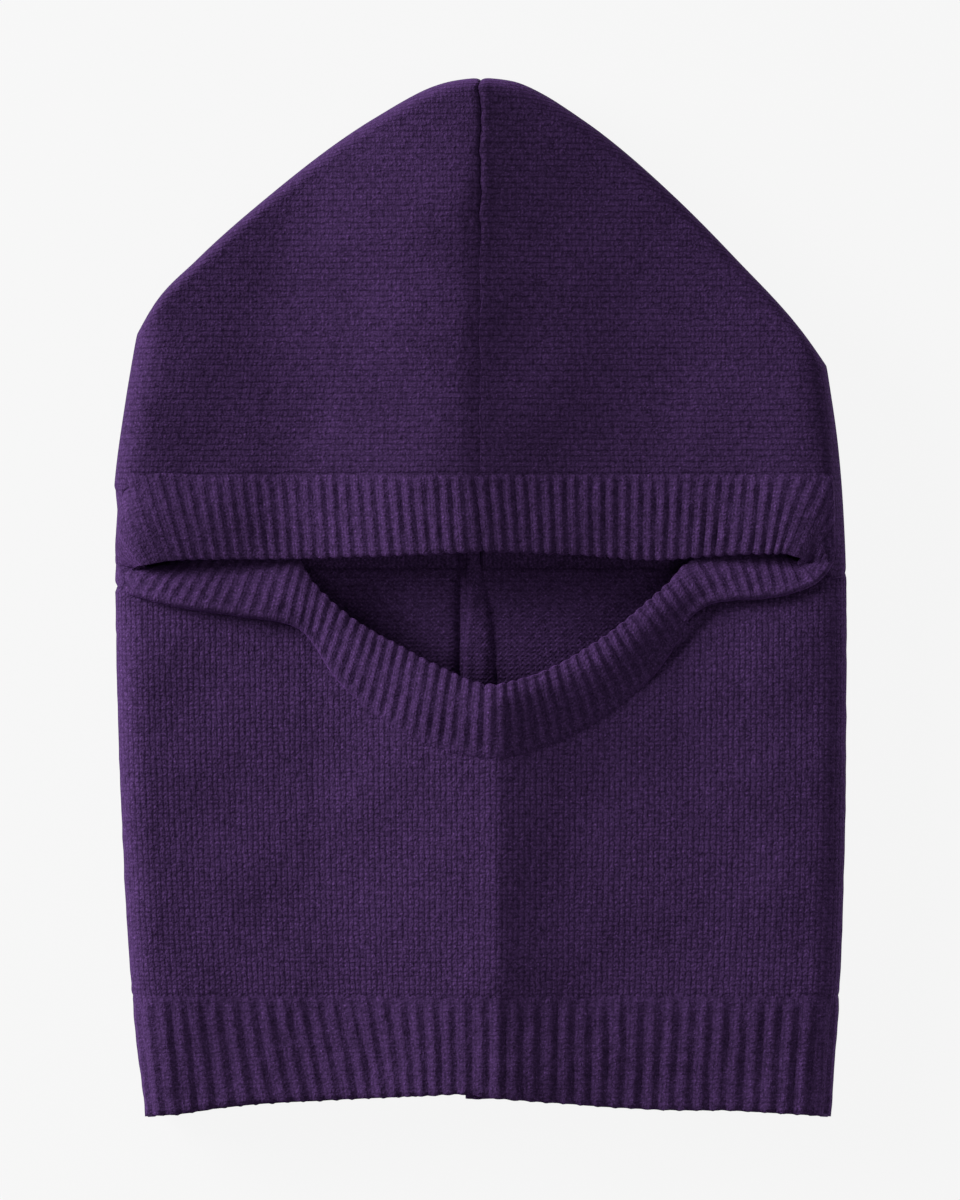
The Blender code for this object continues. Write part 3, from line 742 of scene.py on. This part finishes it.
def linked_seams(material):
    """The chains of yarn that link the panels and bands, sunk into the grooves between them."""
    y = np.linspace(BRIM_Y + 2 * MM, HALF_Y - TOP_FOLD, 80)
    x = seam_sway(0 * y, y)
    chain("crown_chain", front_path(x, y, 2.9 * MM), 0.8 * MM, material, "crown_seam")
    y = np.linspace(20 * MM, BRIM_Y, 20)
    x = np.interp(y, [18.7 * MM, BRIM_Y], [1 * MM, -2 * MM])
    chain("forehead_chain", front_path(x, y, 0.9 * MM), 0.7 * MM, material, "forehead_join_seam")
    x = np.linspace(-0.126, 0.126, 160)
    y = np.full_like(x, BRIM_Y + 0.6 * MM)
    chain("brim_chain", front_path(x, y, 1.0 * MM), 0.6 * MM, material, "brim_linking_seam")
    line_x, line_y, line_z = lip_line()
    inside = np.abs(line_x) < 0.118
    x, y = line_x[inside], line_y[inside] + 2.5 * MM
    path = np.stack([x, y, line_z[inside] + relief(x, y) - 5.5 * MM], -1)
    chain("chin_chain", path, 0.7 * MM, material, "chin_linking_seam")
    for side, word in ((-1, "left"), (1, "right")):
        x = side * np.linspace(0.011, 0.126, 60)
        y = np.full_like(x, HINGE_Y)
        path = np.stack([x, y, KNIT + 0.2 * MM + back_lift(x, y)], -1)
        chain("hood_neck_chain_" + word, path, 0.6 * MM, material, "hood_neck_seam_" + word)


# ---------------------------------------------------------------- materials
class Tree:
    """Short calls for a material's nodes."""

    def __init__(self, name):
        self.material = bpy.data.materials.new(name)
        self.material.use_nodes = True
        self.nodes = self.material.node_tree.nodes
        self.links = self.material.node_tree.links
        self.shader = self.nodes["Principled BSDF"]

    def put(self, socket, value):
        if isinstance(value, bpy.types.NodeSocket):
            self.links.new(value, socket)
        else:
            socket.default_value = value

    def math(self, operation, first, second=0.0, third=0.0):
        node = self.nodes.new("ShaderNodeMath")
        node.operation = operation
        for socket, value in zip(node.inputs, (first, second, third)):
            self.put(socket, value)
        return node.outputs[0]

    def noise(self, scale, detail, vector=None):
        node = self.nodes.new("ShaderNodeTexNoise")
        node.inputs["Scale"].default_value = scale
        node.inputs["Detail"].default_value = detail
        if vector is not None:
            self.links.new(vector, node.inputs["Vector"])
        return node.outputs["Fac"]


def knit_loops(tree, u, v, wale_line=0.60, course_line=0.60):
    """Height of stocking stitch: a soft line between wales, and two legs of yarn that meet in a V."""
    leg = tree.math("MULTIPLY", tree.math("PINGPONG", u, 0.5), 2.0)
    wale = tree.math("POWER", tree.math("SINE", tree.math("MULTIPLY", leg, math.pi / 2)), 0.8)
    wale = tree.math("MULTIPLY_ADD", wale, wale_line, 1 - wale_line)
    middle = tree.math("MULTIPLY", tree.math("POWER", leg, 6.0), -0.22)
    slant = tree.math("SUBTRACT", v, tree.math("MULTIPLY", leg, 0.3))
    along = tree.math("ABSOLUTE", tree.math("SINE", tree.math("MULTIPLY", slant, math.pi)))
    along = tree.math("MULTIPLY_ADD", tree.math("POWER", along, 0.7), course_line, 1 - course_line)
    return tree.math("MULTIPLY", tree.math("ADD", wale, middle), along)


def hood_loops(tree, u, v):
    return knit_loops(tree, u, v, 0.70, 0.30)


def rib_loops(tree, u, v):
    """The same loops, lower in the valleys between the ribs, where u is 1.5, 3.5 and so on, which puts
    painted shade into the colour there.
    """
    valley = tree.math("MULTIPLY_ADD", tree.math("SINE", tree.math("MULTIPLY", u, math.pi)), 0.15, 0.85)
    return tree.math("MULTIPLY", knit_loops(tree, u, v, 0.50, 0.40), valley)


def purl_loops(tree, u, v):
    """Height of the purl side: rows of short arcs, one above the other."""
    arc = tree.math("SINE", tree.math("MULTIPLY", u, 2 * math.pi))
    row = tree.math("MULTIPLY_ADD", v, 2 * math.pi, arc)
    return tree.math("MULTIPLY_ADD", tree.math("SINE", row), 0.4, 0.5)


def wool(name, colour, loops, loop_depth, gap_shade=1.0, wander=0.75, lumpy=1.8):
    """Brushed wool: loops of yarn, a halo of loose fibres over them, slight unevenness of the dye, and
    painted shade in the gaps between the loops.
    """
    tree = Tree(name)
    stitch = tree.nodes.new("ShaderNodeAttribute")
    stitch.attribute_name = "stitch"
    place_of = tree.nodes.new("ShaderNodeTexCoord").outputs["Object"]
    split = tree.nodes.new("ShaderNodeSeparateXYZ")
    tree.links.new(stitch.outputs["Vector"], split.inputs[0])
    wander_u = tree.math("MULTIPLY_ADD", tree.noise(300, 2, place_of), wander, -wander / 2)
    wander_v = tree.math("MULTIPLY_ADD", tree.noise(240, 2, place_of), 1.6 * wander, -0.8 * wander)
    u = tree.math("ADD", split.outputs["X"], wander_u)
    v = tree.math("ADD", split.outputs["Y"], wander_v)
    height = loops(tree, u, v)
    fibres = tree.noise(1300, 3, place_of)
    lumps = tree.noise(520, 2, place_of)
    patches = tree.noise(45, 3, place_of)
    # painted shade: the colour darkens where the loops are low, in the gaps between them
    tone = tree.math("MULTIPLY_ADD", height, 1.25 * gap_shade, 1 - 0.62 * gap_shade)
    tone = tree.math("MULTIPLY", tone, tree.math("MULTIPLY_ADD", lumps, lumpy, 1 - lumpy / 2))
    tone = tree.math("MULTIPLY", tone, tree.math("MULTIPLY_ADD", patches, 0.5, 0.75))
    tone = tree.math("ADD", tone, tree.math("MULTIPLY", tree.math("POWER", fibres, 6.0), 14.0))
    scale = tree.nodes.new("ShaderNodeVectorMath")
    scale.operation = "SCALE"
    scale.inputs[0].default_value = colour
    tree.links.new(tone, scale.inputs["Scale"])
    tree.links.new(scale.outputs["Vector"], tree.shader.inputs["Base Color"])
    tree.put(tree.shader.inputs["Roughness"], tree.math("MULTIPLY_ADD", fibres, 0.2, 0.8))
    rise = tree.math("MULTIPLY_ADD", fibres, 0.9, tree.math("ADD", lumps, height))
    bump = tree.nodes.new("ShaderNodeBump")
    bump.inputs["Strength"].default_value = 1.0
    bump.inputs["Distance"].default_value = loop_depth
    tree.links.new(rise, bump.inputs["Height"])
    tree.links.new(bump.outputs["Normal"], tree.shader.inputs["Normal"])
    tree.shader.inputs["Specular IOR Level"].default_value = 0.04
    tree.shader.inputs["Sheen Weight"].default_value = 0.22
    tree.shader.inputs["Sheen Roughness"].default_value = 0.50
    tree.shader.inputs["Sheen Tint"].default_value = SHEEN
    return tree.material


# ---------------------------------------------------------------- studio
def floor():
    bpy.ops.mesh.primitive_plane_add(size=12, location=(0, 0, -0.3 * MM))
    obj = bpy.context.object
    obj.name = "studio_floor"
    tree = Tree("pale_paper")
    tree.shader.inputs["Base Color"].default_value = (0.03, 0.03, 0.03, 1)
    tree.shader.inputs["Roughness"].default_value = 0.9
    tree.shader.inputs["Specular IOR Level"].default_value = 0.0
    tree.shader.inputs["Emission Color"].default_value = (1, 1, 1, 1)
    tree.shader.inputs["Emission Strength"].default_value = 0.90
    obj.data.materials.append(tree.material)


def area_light(name, location, size, watts):
    data = bpy.data.lights.new(name, "AREA")
    data.shape = "SQUARE"
    data.size = size
    data.energy = watts
    obj = bpy.data.objects.new(name, data)
    obj.location = location
    obj.rotation_euler = (-obj.location).to_track_quat("-Z", "Y").to_euler()
    bpy.context.scene.collection.objects.link(obj)


def studio():
    floor()
    area_light("key_left", (-1.70, 0.76, 0.68), size=1.1, watts=73)
    area_light("top_soft", (0.05, -0.50, 2.20), size=0.8, watts=6.2)
    area_light("fill_right", (1.70, -0.20, 0.55), size=0.9, watts=5)
    world = bpy.data.worlds.new("studio_air")
    world.use_nodes = True
    background = world.node_tree.nodes["Background"]
    background.inputs["Color"].default_value = (0.92, 0.92, 0.92, 1)
    background.inputs["Strength"].default_value = 0.11
    bpy.context.scene.world = world
    bpy.context.scene.view_settings.view_transform = "Standard"


def camera():
    """Straight above, far enough off that the view is nearly parallel."""
    distance, view_height = 2.6, 0.468
    data = bpy.data.cameras.new("camera")
    data.sensor_width = 36
    data.lens = data.sensor_width * distance / view_height
    obj = bpy.data.objects.new("camera", data)
    obj.location = (0, -0.8 * MM, distance + FOLD)
    bpy.context.scene.collection.objects.link(obj)
    bpy.context.scene.camera = obj


def main():
    camera()
    # the hood's colour carries painted shade
    hood_shaded_colour = tuple(c * HOOD_SHADE for c in YARN)
    # the purl side's colour carries painted light
    purl_lit_colour = tuple(c * PURL_LIGHT for c in YARN)
    knit = wool("wool_stocking_stitch", YARN, knit_loops, 0.46 * MM, gap_shade=0.90)
    hood = wool("wool_hood_stitch", hood_shaded_colour, hood_loops, 0.44 * MM, gap_shade=0.85)
    rib = wool("wool_rib", YARN, rib_loops, 0.45 * MM, wander=0.6, lumpy=1.6)
    purl = wool("wool_purl_side", purl_lit_colour, purl_loops, 0.3 * MM, gap_shade=0.45, wander=0.35)
    face_band((rib, rib))
    neck_panel((knit, purl))
    hem_band((rib, rib))
    hood_half(-1, (hood, purl))
    hood_half(1, (hood, purl))
    back_seam((purl, purl))
    linked_seams(purl)
    studio()


main()
